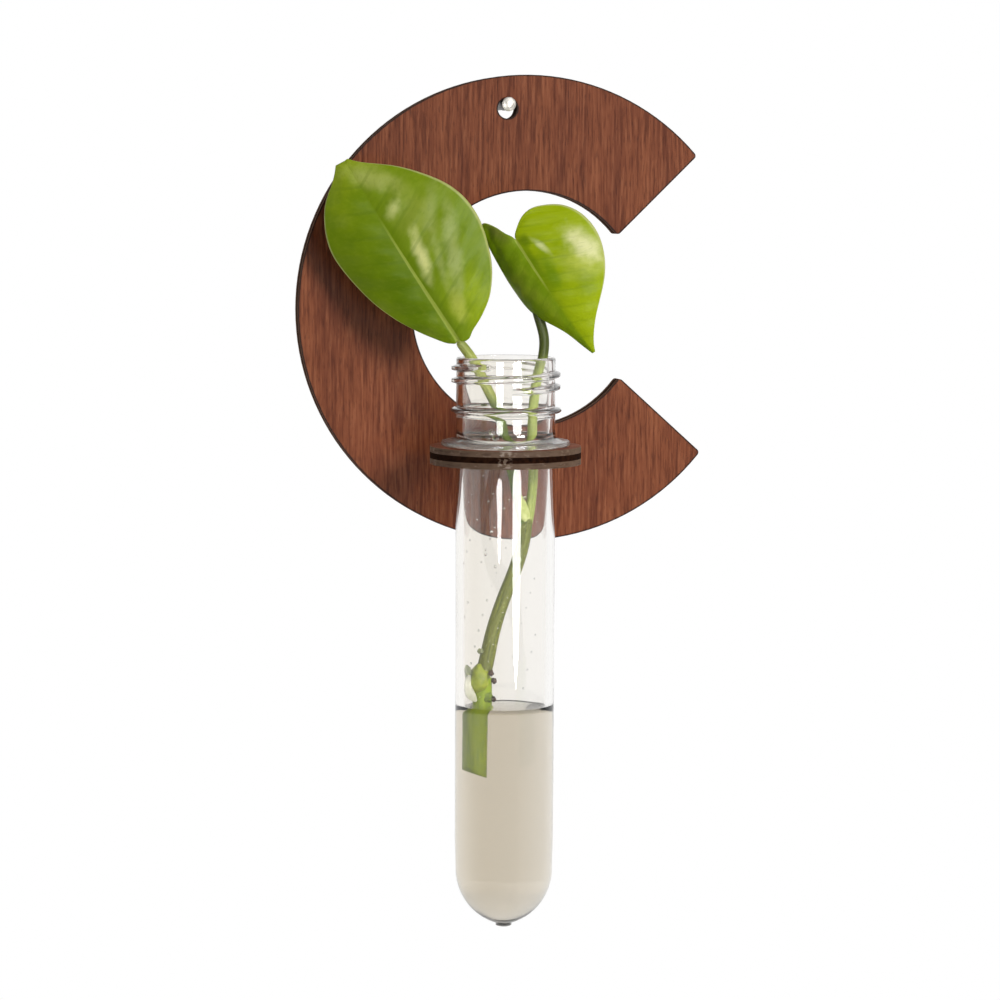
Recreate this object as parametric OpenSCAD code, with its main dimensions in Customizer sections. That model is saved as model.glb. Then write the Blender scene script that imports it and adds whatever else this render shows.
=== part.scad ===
// Wall-hung water planter: a C-shaped plate of three-layer sheet hangs on a nail,
// a ring of the same sheet stands out of it and holds a clear moulded tube by its ledge,
// and a two-leaved cutting stands in the tube's water.
// Origin: the nail's axis where it meets the wall. X runs right, Y into the wall, Z up.

/* [Plate] */
// Outer diameter of the plate
plate_d = 120; // [100:1:150]
// Diameter of the round window in the plate
window_d = 60.8; // [50:0.2:66]
// Half of the angle by which the plate's mouth opens, in degrees
mouth_half_angle = 43; // [35:0.5:55]
// Turn of the mouth's middle line above level, in degrees
mouth_turn = 1.2; // [-5:0.1:5]
// Distance from the plate's centre to the point where the mouth's edges would meet
mouth_apex = 4.5; // [0:0.1:10]
// Radius of the mouth's four corners
corner_r = 1; // [0.4:0.1:2.5]
// Thickness of each of the sheet's three layers
ply_t = 1.5; // [1:0.1:2]

/* [Hanging] */
// Distance of the nail to the left of the plate's centre
hang_left = 5.6; // [0:0.1:10]
// Material between the hanging hole and the plate's top edge, measured over the nail
hang_margin = 5.78; // [4:0.02:10]
// Diameter of the hanging hole
hang_hole_d = 5.2; // [5:0.1:7]
// Diameter of the nail's shank in the wall
nail_d = 2.6; // [2:0.1:3]
// Diameter of the nail's neck, which the plate hangs on
nail_neck_d = 3; // [2.1:0.1:3.2]
// Diameter of the nail's head
nail_head_d = 3.6; // [3.2:0.1:4.8]
// Height of the nail's domed head
nail_head_h = 1.1; // [0.6:0.1:2]
// Length of the nail inside the wall
nail_wall_len = 25; // [15:1:40]
// Room between the plate's face and the nail's head
nail_head_gap = 1.1; // [0.5:0.1:3]

/* [Ring] */
// Outer diameter of the ring
ring_d = 38; // [36:0.5:46]
// Distance of the ring's middle to the left of the nail
ring_left = 5.6; // [0:0.1:12]
// Distance from the plate's face to the ring's middle
ring_reach = 22.9; // [22:0.1:32]
// Height of the ring's top below the window's lower edge
ring_drop = 2.9; // [1:0.1:10]
// Width of the neck that joins the ring to the plate
ring_neck_w = 16; // [12:0.5:24]
// Width of the tab that passes through the plate
ring_tab_w = 12; // [6:0.5:16]
// Radius of the inside corners between the ring and its neck
ring_fillet = 2; // [0.5:0.1:3]

/* [Tube] */
// Length of the tube from the lip to the gate mark
tube_len = 145; // [120:1:170]
// Outer diameter of the tube's body under the ledge
body_d = 25; // [24.4:0.1:25.2]
// Outer diameter of the body where its round end starts
body_end_d = 24.6; // [23:0.1:25]
// Radius of the arcs that close the body's round end
end_arc_r = 14.5; // [13:0.1:18]
// Wall thickness of the body
body_wall = 2.05; // [1.5:0.05:3]
// Outer diameter of the neck between the threads
neck_d = 24.9; // [24:0.1:25.5]
// Diameter of the neck's bore
neck_bore_d = 21.74; // [21:0.02:22.4]
// Height of the neck from the lip to the ledge's underside
finish_h = 22.25; // [20:0.05:24]
// Diameter over the thread's crest
thread_d = 27.4; // [27:0.1:28]
// Rise of the thread in one turn
thread_pitch = 3.1; // [2.9:0.05:3.6]
// Number of turns of the thread
thread_turns = 1.95; // [1.5:0.05:2.2]
// Diameter of the bead under the thread
bead_d = 28; // [27:0.1:28.6]
// Diameter of the ledge that rests on the ring
ledge_d = 32.4; // [31.6:0.1:34]
// Thickness of the ledge at its rim
ledge_t = 1.3; // [1:0.1:2]

/* [Water and cutting] */
// Depth of the empty part of the tube, from the lip to the water
air_h = 88.35; // [80:0.05:95]
// Length of the large leaf
large_leaf_len = 52.9; // [40:0.1:60]
// Length of the small leaf
small_leaf_len = 34; // [26:0.1:40]
// Thickness of a leaf's blade
leaf_t = 0.5; // [0.4:0.05:0.8]
// Diameter of the main stem
stem_d = 3.3; // [2.8:0.1:3.8]
// Diameter of the leaf stalks
stalk_d = 2.7; // [2:0.1:3]
// Diameter of the cut stem end that stands in the water
stub_d = 4.8; // [3.6:0.1:5.2]
// Length of the cut stem end under water
stub_depth = 17.6; // [10:0.1:24]

/* [Hidden] */
$fn = 96;

// Overrun of every cut past the face that it leaves
over = 0.5;
// Clearance of the nail in the hanging hole, where the plate rests on it
nail_gap = 0.05;
// Clearance between the tube and the ring's bore
ring_gap = 0.3;
// Clearance between the cut stem end and the water round it
water_gap = 0.35;

// Places that follow from the sizes above
sheet_t = 3 * ply_t;
hang_r = hang_hole_d / 2;
hole_z = -(hang_r - nail_neck_d / 2 - nail_gap);
plate_r = plate_d / 2;
hole_up = sqrt(pow(plate_r, 2) - pow(hang_left, 2)) - hang_margin - hang_r;
plate_mid = [hang_left, hole_z - hole_up];
ring_mid = [-ring_left, -sheet_t - ring_reach];
ring_r = ring_d / 2;
ring_top = plate_mid[1] - window_d / 2 - ring_drop;
ring_bore_r = body_d / 2 + ring_gap;
lip_z = ring_top + finish_h;
tip_z = lip_z - tube_len;

// Sizes of the tube's neck
lip_round = 0.6;
thread_base_w = 1.9;
thread_crest_w = 0.9;
thread_drop = 2.15;
thread_root = 0.4;
thread_lead_angle = 25;
thread_start_angle = 258;
bead_drop = 13.3;
bead_h = 1.5;
ledge_slope_h = 0.7;
ledge_slope_w = 2.6;

// Sizes of the tube's body
bore_taper_top = 4;
bore_taper_h = 14;
gate_d = 4;
gate_h = 0.4;
body_r = body_d / 2;
end_r = body_end_d / 2;
bore_r = body_r - body_wall;
bore_end_r = end_r - body_wall;
end_arc_mid = end_r - end_arc_r;
end_z = tip_z + gate_h + sqrt(pow(end_arc_r, 2) - pow(end_arc_mid, 2));

// Height of the rim of water that climbs the wall
meniscus = 1.2;
water_z = lip_z - air_h;

// Paths of the plant's stems, from top to bottom. X and Y are shares of the bore's radius
// from the tube's axis, and Z is a share of the empty depth, downwards from the lip.
left_stalk_shares = [
    [-1.17, -0.01, -0.046], [-1, 0.02, -0.023], [-0.82, 0.05, 0.005], [-0.65, 0.08, 0.04],
    [-0.51, 0.1, 0.072], [-0.34, 0.12, 0.11], [-0.17, 0.13, 0.151], [-0.06, 0.14, 0.194],
    [0.01, 0.15, 0.235], [0.12, 0.16, 0.289], [0.23, 0.17, 0.337], [0.31, 0.18, 0.386],
    [0.42, 0.18, 0.43], [0.56, 0.18, 0.478]
];
right_stalk_shares = [
    [0.106, -0.54, -0.329], [0.29, -0.34, -0.276], [0.56, -0.16, -0.198], [0.76, -0.06, -0.124],
    [0.91, -0.1, -0.055], [0.86, -0.19, 0.003], [0.75, -0.08, 0.066], [0.69, 0.04, 0.16],
    [0.7, 0.1, 0.24], [0.74, 0.14, 0.33], [0.71, 0.17, 0.408], [0.6, 0.18, 0.475]
];
stem_shares = [
    [0.59, 0.18, 0.462], [0.5, 0.18, 0.53], [0.31, 0.17, 0.6], [0, 0.16, 0.69],
    [-0.24, 0.15, 0.775], [-0.39, 0.13, 0.85], [-0.49, 0.12, 0.9]
];
sheath_shares = [[0.4, 0.04, 0.395], [0.47, 0.07, 0.434], [0.57, 0.12, 0.474]];
node_share = [-0.6, 0.11, 0.915];
bud_share = [-0.46, 0.06, 0.968];
stub_share = [-0.52, 0.16];

// Swellings at the stem's joint, with the bud's and the nubs' sizes. The stem grows towards it.
stem_swell_share = 1.2;
node_r = 3.1;
node_half_h = 3.6;
bud_r = 1.75;
sheath_top_r = 0.5;
sheath_foot_r = 1.7;
scale_r = 0.5;
stub_slant = 22;
nub_r = 0.75;
nub_shares = [
    [-0.88, 0.02, 0.898], [-0.36, -0.12, 0.897], [-0.25, 0.05, 0.922],
    [-0.28, 0, 0.973], [-0.58, 0.02, 0.835]
];

// Shape of both leaves. A row runs from the midrib to a margin, and the shares are of the
// leaf's length: the midrib's stations, and each row's end along and across the leaf.
rib_shares = [0, 0.008, 0.025, 0.05, 0.1, 0.2, 0.36, 0.56, 0.78, 0.93, 1];
large_left_shares = [
    [0, 0.018], [0.012, 0.036], [0.03, 0.06], [0.079, 0.1], [0.15, 0.15], [0.28, 0.225],
    [0.46, 0.287], [0.67, 0.306], [0.85, 0.225], [0.955, 0.098], [1.004, 0.05]
];
large_right_shares = [
    [-0.006, 0.02], [-0.015, 0.052], [0.01, 0.09], [0.05, 0.17], [0.12, 0.26], [0.25, 0.342],
    [0.46, 0.397], [0.64, 0.365], [0.82, 0.225], [0.945, 0.068], [1, 0.012]
];
small_left_shares = [
    [-0.03, 0.015], [-0.13, 0.085], [-0.235, 0.165], [-0.215, 0.228], [-0.1, 0.255],
    [0.09, 0.285], [0.3, 0.31], [0.51, 0.28], [0.74, 0.115], [0.91, 0.045], [1, 0.006]
];
small_right_shares = [
    [-0.02, 0.012], [-0.08, 0.075], [-0.137, 0.187], [-0.13, 0.297], [-0.03, 0.445],
    [0.139, 0.53], [0.34, 0.522], [0.57, 0.4], [0.79, 0.168], [0.92, 0.05], [1, 0.006]
];
large_leaf_turn = [-98.4, -57.5, 162.6];
small_leaf_turn = [118.4, 54.7, -8.8];
large_fold = 10;
small_fold = 22;
bulge_share = 0.09;
arch_share = 0.035;
leaf_rows = 27;
leaf_columns = 6;

// A point on a smooth curve through all of a list's points, at position t along the list
function blend(a, b, c, d, t) =
    0.5 * (2 * b + (c - a) * t + (2 * a - 5 * b + 4 * c - d) * t * t
        + (3 * b - a - 3 * c + d) * t * t * t);
function along(pts, t) =
    let (
        last = len(pts) - 1,
        i = min(floor(t), last - 1),
        a = pts[max(i - 1, 0)],
        d = pts[min(i + 2, last)]
    )
    blend(a, pts[i], pts[i + 1], d, t - i);

// A place inside the tube, from shares of its bore and of its empty depth
function in_tube(p) = [
    ring_mid[0] + p[0] * bore_r,
    ring_mid[1] + p[1] * bore_r,
    lip_z - p[2] * air_h
];
function unit(v) = v / norm(v);

// A round stem swept along a list of places, from one radius to another
module swept(pts, r_start, r_end, sides = 10, steps = 3) {
    spans = len(pts) - 1;
    rings = spans * steps;
    centres = [for (i = [0:rings]) along(pts, i / steps)];
    points = [
        for (i = [0:rings])
            let (
                ahead = centres[min(i + 1, rings)],
                behind = centres[max(i - 1, 0)],
                t = unit(ahead - behind),
                u = unit(cross(t, [1, 0, 0])),
                v = cross(t, u),
                r = r_start + (r_end - r_start) * i / rings
            )
            for (k = [0:sides - 1])
                centres[i] + r * (u * cos(360 * k / sides) + v * sin(360 * k / sides))
    ];
    sides_tri = [
        for (i = [0:rings - 1], k = [0:sides - 1])
            let (
                a = i * sides + k,
                b = i * sides + (k + 1) % sides
            )
            each [[a, b + sides, b], [a, a + sides, b + sides]]
    ];
    start_cap = [for (k = [1:sides - 2]) [0, k, k + 1]];
    foot = rings * sides;
    end_cap = [for (k = [1:sides - 2]) [foot, foot + k + 1, foot + k]];
    polyhedron(points, concat(sides_tri, start_cap, end_cap));
}

// One corner of the plate's mouth, drawn as what has to be cut away to round it
module mouth_corner(edge_r, fillet_r, way) {
    apex = [mouth_apex, 0];
    dir = [cos(mouth_half_angle), sin(mouth_half_angle)];
    side = [-dir[1], dir[0]];
    from = apex + fillet_r * side;
    mid_r = edge_r + way * fillet_r;
    run = -from * dir + sqrt(pow(from * dir, 2) - from * from + pow(mid_r, 2));
    mid = from + run * dir;
    run_edge = -apex * dir + sqrt(pow(apex * dir, 2) - apex * apex + pow(edge_r, 2));
    tip = apex + run_edge * dir;
    reach_share = 1.5;
    difference() {
        polygon([
            mid,
            mid + reach_share * (apex + run * dir - mid),
            mid + reach_share * (tip - mid),
            mid + reach_share * (mid * edge_r / mid_r - mid)
        ]);
        translate(mid) circle(r = fillet_r);
    }
}

// The C-shaped outline of every layer of the plate, seen from the front
module plate_outline() {
    difference() {
        translate(plate_mid) difference() {
            circle(d = plate_d, $fn = 180);
            circle(d = window_d);
            rotate(mouth_turn) {
                translate([mouth_apex, 0]) polygon([
                    [0, 0],
                    [plate_d, plate_d * tan(mouth_half_angle)],
                    [plate_d, -plate_d * tan(mouth_half_angle)]
                ]);
                for (flip = [0, 1]) mirror([0, flip]) {
                    mouth_corner(plate_r, corner_r, -1);
                    mouth_corner(window_d / 2, corner_r, 1);
                }
            }
        }
        translate([0, hole_z]) circle(d = hang_hole_d);
        translate([ring_mid[0] - ring_tab_w / 2, ring_top - sheet_t]) square([ring_tab_w, sheet_t]);
    }
}

// A layer of the plate, counted from the wall
module plate_layer(level) {
    translate([0, -level * ply_t, 0]) rotate([90, 0, 0]) linear_extrude(ply_t) plate_outline();
}

// The ring's outline from above, with the neck and the tab that hold it in the plate
module ring_outline() {
    fillet_x = ring_neck_w / 2 + ring_fillet;
    fillet_y = sqrt(pow(ring_r + ring_fillet, 2) - pow(fillet_x, 2));
    difference() {
        union() {
            circle(r = ring_r);
            polygon([[0, 0], [fillet_x, fillet_y], [-fillet_x, fillet_y]]);
            translate([-ring_neck_w / 2, 0]) square([ring_neck_w, ring_reach]);
            translate([-ring_tab_w / 2, 0]) square([ring_tab_w, ring_reach + sheet_t]);
        }
        for (way = [-1, 1]) translate([way * fillet_x, fillet_y]) circle(r = ring_fillet);
        circle(r = ring_bore_r);
    }
}

// A layer of the ring, counted from its top
module ring_layer(level) {
    translate([ring_mid[0], ring_mid[1], ring_top - (level + 1) * ply_t])
        linear_extrude(ply_t) ring_outline();
}

module hanging_nail() {
    head_back = sheet_t + nail_head_gap;
    tip_h = nail_d;
    dome_r = (pow(nail_head_d / 2, 2) + pow(nail_head_h / 2, 2)) / nail_head_h;
    color("gainsboro") rotate([90, 0, 0]) {
        translate([0, 0, -nail_wall_len]) cylinder(d1 = nail_d / 8, d2 = nail_d, h = tip_h);
        translate([0, 0, -nail_wall_len + tip_h]) cylinder(d = nail_d, h = nail_wall_len - tip_h);
        cylinder(d = nail_neck_d, h = head_back);
        translate([0, 0, head_back]) cylinder(d = nail_head_d, h = nail_head_h / 2);
        translate([0, 0, head_back + nail_head_h / 2]) intersection() {
            cylinder(d = nail_head_d, h = nail_head_h / 2);
            translate([0, 0, nail_head_h / 2 - dome_r]) sphere(r = dome_r);
        }
    }
}

module plate_rear_layer() {
    color("saddlebrown") plate_layer(0);
}

module plate_core_layer() {
    color("#2a1a12") plate_layer(1);
}

module plate_front_layer() {
    color("sienna") plate_layer(2);
}

module ring_top_layer() {
    color("#5d4a41") ring_layer(0);
}

module ring_core_layer() {
    color("#241a15") ring_layer(1);
}

module ring_bottom_layer() {
    color("#5d4a41") ring_layer(2);
}

// The raised screw thread round the neck, as one ridge that starts and ends thin
module thread_ridge() {
    steps = round(thread_turns * 48);
    neck_r = neck_d / 2;
    crest_h = (thread_d - neck_d) / 2;
    thin_share = 0.12;
    points = [
        for (i = [0:steps])
            let (
                turned = 360 * thread_turns * i / steps,
                angle = thread_start_angle + turned,
                ends = min(turned, 360 * thread_turns - turned) / thread_lead_angle,
                rise = max(thin_share, min(1, ends)),
                z = thread_pitch * turned / 360,
                r_in = neck_r - thread_root,
                r_out = neck_r + crest_h * rise,
                out = [cos(angle), sin(angle)]
            )
            each [
                [r_in * out[0], r_in * out[1], z - thread_base_w / 2],
                [r_out * out[0], r_out * out[1], z - thread_crest_w / 2],
                [r_out * out[0], r_out * out[1], z + thread_crest_w / 2],
                [r_in * out[0], r_in * out[1], z + thread_base_w / 2]
            ]
    ];
    faces = [
        for (i = [0:steps - 1], k = [0:3])
            let (
                a = 4 * i + k,
                b = 4 * i + (k + 1) % 4
            )
            each [[a, b, b + 4], [a, b + 4, a + 4]]
    ];
    foot = 4 * steps;
    caps = [[0, 2, 1], [0, 3, 2], [foot, foot + 1, foot + 2], [foot, foot + 2, foot + 3]];
    translate([0, 0, -thread_drop - thread_pitch * thread_turns]) polyhedron(points, concat(faces, caps));
}

// The tube's neck from the lip down to the ledge, without its bore and its thread
module neck_shell() {
    neck_r = neck_d / 2;
    lip = [for (a = [0:15:90]) [
        neck_r - lip_round + lip_round * sin(a),
        -lip_round + lip_round * cos(a)
    ]];
    bead = [for (a = [90:-30:-90]) [
        neck_r + (bead_d - neck_d) / 2 * cos(a),
        -bead_drop + bead_h / 2 * sin(a)
    ]];
    ledge_r = ledge_d / 2;
    ledge_top = -finish_h + ledge_t;
    ledge = [
        [neck_r, ledge_top + ledge_slope_h],
        [neck_r + ledge_slope_w, ledge_top],
        [ledge_r - ledge_t / 4, ledge_top],
        [ledge_r, ledge_top - ledge_t / 4],
        [ledge_r, -finish_h + ledge_t / 4],
        [ledge_r - ledge_t / 4, -finish_h],
        [0, -finish_h]
    ];
    rotate_extrude() polygon(concat([[0, 0]], lip, bead, ledge));
}

// The round end of the body or, further in, of its bore: two arcs that meet at the axis
module round_end(inset) {
    rotate_extrude() intersection() {
        translate([end_arc_mid, 0]) circle(r = end_arc_r - inset);
        translate([0, -end_arc_r]) square([end_r, 2 * end_arc_r]);
    }
}

// The space inside the tube
module cavity(top_over) {
    taper_z = lip_z - finish_h - bore_taper_top;
    translate([ring_mid[0], ring_mid[1], 0]) {
        translate([0, 0, taper_z]) cylinder(d = neck_bore_d, h = lip_z - taper_z + top_over);
        translate([0, 0, taper_z - bore_taper_h]) cylinder(r1 = bore_r, d2 = neck_bore_d, h = bore_taper_h);
        translate([0, 0, end_z]) cylinder(r1 = bore_end_r, r2 = bore_r, h = taper_z - bore_taper_h - end_z);
        translate([0, 0, end_z]) round_end(body_wall);
    }
}

module test_tube() {
    color("lightcyan", 0.4) difference() {
        translate([ring_mid[0], ring_mid[1], 0]) {
            translate([0, 0, lip_z]) neck_shell();
            translate([0, 0, lip_z]) thread_ridge();
            translate([0, 0, end_z]) cylinder(r1 = end_r, r2 = body_r, h = lip_z - finish_h - end_z);
            translate([0, 0, end_z]) round_end(0);
            translate([0, 0, tip_z]) cylinder(d = gate_d, h = end_r / 2);
        }
        cavity(over);
    }
}

module water() {
    color("#d8cfb8", 0.6) difference() {
        intersection() {
            cavity(0);
            translate([ring_mid[0], ring_mid[1], 0]) {
                translate([0, 0, tip_z]) cylinder(r = body_r, h = water_z - tip_z);
                translate([0, 0, water_z]) rotate_extrude() difference() {
                    translate([bore_r - meniscus, 0]) square([meniscus + over, meniscus]);
                    translate([bore_r - meniscus, meniscus]) circle(r = meniscus);
                }
            }
        }
        translate([
            ring_mid[0] + stub_share[0] * bore_r,
            ring_mid[1] + stub_share[1] * bore_r,
            water_z - stub_depth - water_gap
        ]) cylinder(d = stub_d + 2 * water_gap, h = stub_depth + water_gap + meniscus + over);
    }
}

module main_stem() {
    color("#7f9440")
        swept([for (p = stem_shares) in_tube(p)], stem_d / 2, stem_swell_share * stem_d / 2);
}

module left_stalk() {
    color("#9bb04e") swept([for (p = left_stalk_shares) in_tube(p)], stalk_d / 2, stalk_d / 2);
}

module right_stalk() {
    color("#8aa23c") swept([for (p = right_stalk_shares) in_tube(p)], stalk_d / 2, stalk_d / 2);
}

// A pale scale that wraps the stalks where they leave the stem
module stalk_sheath() {
    color("#c9d58a") swept([for (p = sheath_shares) in_tube(p)], sheath_top_r, sheath_foot_r);
}

// A leaf's blade: rows of points from the left margin over the midrib to the right margin
module blade(leaf_len, left_shares, right_shares, fold) {
    last = len(rib_shares) - 1;
    wide = 2 * leaf_columns + 1;
    top = [
        for (i = [0:leaf_rows])
            let (
                t = last * i / leaf_rows,
                rib_x = along(rib_shares, t),
                rib = [rib_x * leaf_len, 0, arch_share * leaf_len * sin(180 * rib_x)],
                left = along(left_shares, t),
                right = along(right_shares, t)
            )
            for (k = [-leaf_columns:leaf_columns])
                let (
                    way = k < 0 ? -1 : 1,
                    end = k < 0 ? left : right,
                    v = abs(k) / leaf_columns,
                    x = end[0] * leaf_len,
                    y = end[1] * leaf_len,
                    margin = [x, way * y * cos(fold), rib[2] - y * sin(fold)]
                )
                rib + (margin - rib) * v + [0, 0, bulge_share * y * sin(180 * v)]
    ];
    count = len(top);
    points = concat(top, [for (p = top) p - [0, 0, leaf_t]]);
    skin = [
        for (i = [0:leaf_rows - 1], k = [0:wide - 2])
            let (
                a = i * wide + k,
                b = a + wide
            )
            each [
                [a, a + 1, b + 1], [a, b + 1, b],
                [a + count, b + 1 + count, a + 1 + count], [a + count, b + count, b + 1 + count]
            ]
    ];
    rim = concat(
        [for (i = [0:leaf_rows]) i * wide],
        [for (k = [1:wide - 1]) leaf_rows * wide + k],
        [for (i = [leaf_rows - 1:-1:0]) i * wide + wide - 1],
        [for (k = [wide - 2:-1:1]) k]
    );
    edge = [
        for (i = [0:len(rim) - 1])
            let (
                a = rim[i],
                b = rim[(i + 1) % len(rim)]
            )
            each [[a, b, b + count], [a, b + count, a + count]]
    ];
    polyhedron(points, concat(skin, edge));
}

module large_leaf() {
    color("#6f9224") translate(in_tube(left_stalk_shares[0])) rotate(large_leaf_turn)
        blade(large_leaf_len, large_right_shares, large_left_shares, large_fold);
}

module small_leaf() {
    color("#8fb01e") translate(in_tube(right_stalk_shares[0])) rotate(small_leaf_turn)
        blade(small_leaf_len, small_left_shares, small_right_shares, small_fold);
}

// The swollen joint from which roots and buds grow
module stem_node() {
    color("#9dbb3a") translate(in_tube(node_share)) rotate_extrude()
        polygon([for (a = [-90:15:90]) [node_r * cos(a), node_half_h * sin(a)]]);
}

module side_bud() {
    color("#86a52c") translate(in_tube(bud_share)) sphere(r = bud_r, $fn = 48);
}

// The dry pale scale of the leaf that once grew at the joint
module dry_sheath() {
    mid = in_tube(node_share);
    r = node_r;
    color("#e6e2c4") swept(
        [mid + [-0.9 * r, -0.6 * r, 0.4 * r], mid + [-1 * r, -0.5 * r, -0.35 * r],
            mid + [-0.8 * r, -0.5 * r, -1.15 * r], mid + [-0.3 * r, -0.4 * r, -1.8 * r]],
        scale_r, scale_r
    );
}

module root_nubs() {
    color("#4a4434") for (p = nub_shares) translate(in_tube(p)) sphere(r = nub_r, $fn = 24);
}

// The part of the stem below the joint, cut off at a slant under water
module cut_stem_end() {
    mid = in_tube(node_share);
    x = ring_mid[0] + stub_share[0] * bore_r;
    y = ring_mid[1] + stub_share[1] * bore_r;
    foot_z = water_z - stub_depth;
    color("#7f9a2e") difference() {
        translate([x, y, foot_z]) cylinder(d = stub_d, h = mid[2] - foot_z);
        translate([x + stub_d / 2, y, foot_z]) rotate([0, stub_slant, 0])
            translate([-2 * stub_d, -stub_d, -2 * stub_d]) cube([3 * stub_d, 2 * stub_d, 2 * stub_d]);
    }
}

hanging_nail();
plate_rear_layer();
plate_core_layer();
plate_front_layer();
ring_top_layer();
ring_core_layer();
ring_bottom_layer();
test_tube();
water();
main_stem();
left_stalk();
right_stalk();
stalk_sheath();
large_leaf();
small_leaf();
stem_node();
side_bud();
dry_sheath();
root_nubs();
cut_stem_end();
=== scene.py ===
"""The looks of a wall-hung water planter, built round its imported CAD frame. Lengths are in metres."""

from math import acos, ceil, cos, degrees, exp, hypot, pi, radians, sin, sqrt, tan

import bmesh
import bpy
from mathutils import Euler, Matrix, Vector, noise


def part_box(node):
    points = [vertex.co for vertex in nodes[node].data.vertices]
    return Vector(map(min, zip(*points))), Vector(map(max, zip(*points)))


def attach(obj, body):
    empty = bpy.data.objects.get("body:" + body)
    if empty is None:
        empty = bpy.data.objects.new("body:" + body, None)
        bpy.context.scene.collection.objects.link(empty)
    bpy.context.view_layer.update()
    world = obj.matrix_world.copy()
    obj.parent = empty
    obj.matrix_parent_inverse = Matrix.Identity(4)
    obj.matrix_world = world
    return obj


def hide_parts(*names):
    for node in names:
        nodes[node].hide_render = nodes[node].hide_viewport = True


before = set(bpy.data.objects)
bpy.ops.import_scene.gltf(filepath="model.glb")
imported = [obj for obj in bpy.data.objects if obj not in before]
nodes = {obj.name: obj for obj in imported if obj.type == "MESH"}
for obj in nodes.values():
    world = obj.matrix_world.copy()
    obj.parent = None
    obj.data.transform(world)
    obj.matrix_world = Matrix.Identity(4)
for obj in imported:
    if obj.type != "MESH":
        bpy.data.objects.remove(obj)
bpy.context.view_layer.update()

MM = 0.001
TURN = 2 * pi
# Places closer than this are the same
SAME = 0.01 * MM

# Plate and ring, as in the CAD source
PLATE_R = 60 * MM
PLATE_MID = Vector((5.6 * MM, 0, -52.4 * MM))
WINDOW_R = 30.4 * MM
MOUTH_APEX = 4.5 * MM
MOUTH_HALF = radians(43)
MOUTH_TURN = radians(1.2)
HANG_HOLE_R = 2.6 * MM
HANG_HOLE_Z = -1.05 * MM

# The nail's head starts here
HEAD_FOOT_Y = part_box("hanging_nail")[0].y + 1.1 * MM

# The tube's place and its neck. Depths are counted downwards from the lip.
tube_low, tube_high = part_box("test_tube")
AXIS = Vector(((tube_low.x + tube_high.x) / 2, (tube_low.y + tube_high.y) / 2, 0))
LIP_Z = tube_high.z
TUBE_LEN = tube_high.z - tube_low.z
NECK_R = 12.45 * MM
NECK_BORE_R = 10.87 * MM
LIP_OUTER_ROUND = 0.6 * MM
LIP_INNER_ROUND = 0.35 * MM
THREAD_R = 13.7 * MM
THREAD_PITCH = 3.1 * MM
THREAD_TURNS = 1.95
THREAD_DROP = 2.15 * MM
THREAD_BASE = 1.9 * MM
THREAD_TOP = 0.7 * MM
THREAD_START = radians(258)
THREAD_LEAD = radians(40)
BEAD_R = 14 * MM
BEAD_DROP = 13.3 * MM
BEAD_H = 1.5 * MM
LEDGE_R = 16.2 * MM
LEDGE_TOP = 20.95 * MM
LEDGE_FOOT = 22.25 * MM
LEDGE_SLOPE_TOP = 20.25 * MM
LEDGE_ROUND = 0.35 * MM
# The slope on the ledge, inwards to the neck: (radius, depth)
LEDGE_SLOPE = [
    (15.05 * MM, LEDGE_TOP), (14.15 * MM, 20.85 * MM), (13.15 * MM, 20.37 * MM), (12.6 * MM, 20 * MM),
]
NECK_FOOT = 19.75 * MM
BODY_R = 12.5 * MM
END_R = 12.3 * MM
END_ARC_R = 14.5 * MM
END_ARC_MID = END_R - END_ARC_R
WALL = 2.05 * MM
BORE_R = 10.45 * MM
BORE_END_R = 10.25 * MM
BORE_TAPER_TOP = 26.25 * MM
BORE_TAPER_FOOT = 40.25 * MM
GATE_R = 2 * MM
GATE_FOOT_R = 2.1 * MM
GATE_H = 0.4 * MM
# The gate mark's section, from its middle: (radius, height over the tube's lowest point)
GATE_PROFILE = [(0, 0.12 * MM), (0.9 * MM, 0.1 * MM), (1.5 * MM, 0), (GATE_R, 0.2 * MM)]
END_DEPTH = TUBE_LEN - GATE_H - sqrt(END_ARC_R ** 2 - END_ARC_MID ** 2)

# A pale mark on the ring's front edge
PALE_MARK_PLACE = (AXIS.x - 4.5 * MM, AXIS.y - 18.5 * MM, 0)

# Water
MENISCUS = 1.2 * MM
MENISCUS_RUN = 1.9 * MM
STEM_MENISCUS = 0.8 * MM
STEM_MENISCUS_RUN = 0.6 * MM
WATER_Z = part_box("water")[1].z - MENISCUS
AIR_H = LIP_Z - WATER_Z
# The water climbs less at the tube's back
FRONT_CLIMB, BACK_CLIMB = 0.85, 0.3
WATER_ROWS = (END_DEPTH - 12 * MM, END_DEPTH - 25 * MM, AIR_H + 8 * MM, AIR_H + 1 * MM)
WATER_OVERLAP = 0.08 * MM
WATER_IOR = 1.33
# The colour that the water takes on with its depth, and how fast it does, a metre. It is a painted tint
# that stands for the warm shade seen through the water.
WARM_SHADE_TINT = (0.56, 0.47, 0.29, 1)
WARM_SHADE_DENSITY = 46

# Large drops on the tube's inner wall: (degrees from the front, millimetres from the lip,
# radius in millimetres)
LARGE_DROPS = [
    (-31, 18.2, 0.75), (-26, 19.6, 0.9), (-34, 20.2, 0.45), (12, 34.4, 0.4), (-31, 43, 0.4),
    (-39, 48.6, 0.35), (-26, 51.6, 0.35),
]
SMALL_DROPS = 90
# The small drops: the least turn, depth and radius, their ranges, and the steps that scatter them
DROP_LOW = (-78, 24, 0.12)
DROP_RANGE = (110, 62, 0.16)
DROP_STEPS = (0.618034, 0.754878, 0.37)

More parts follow.
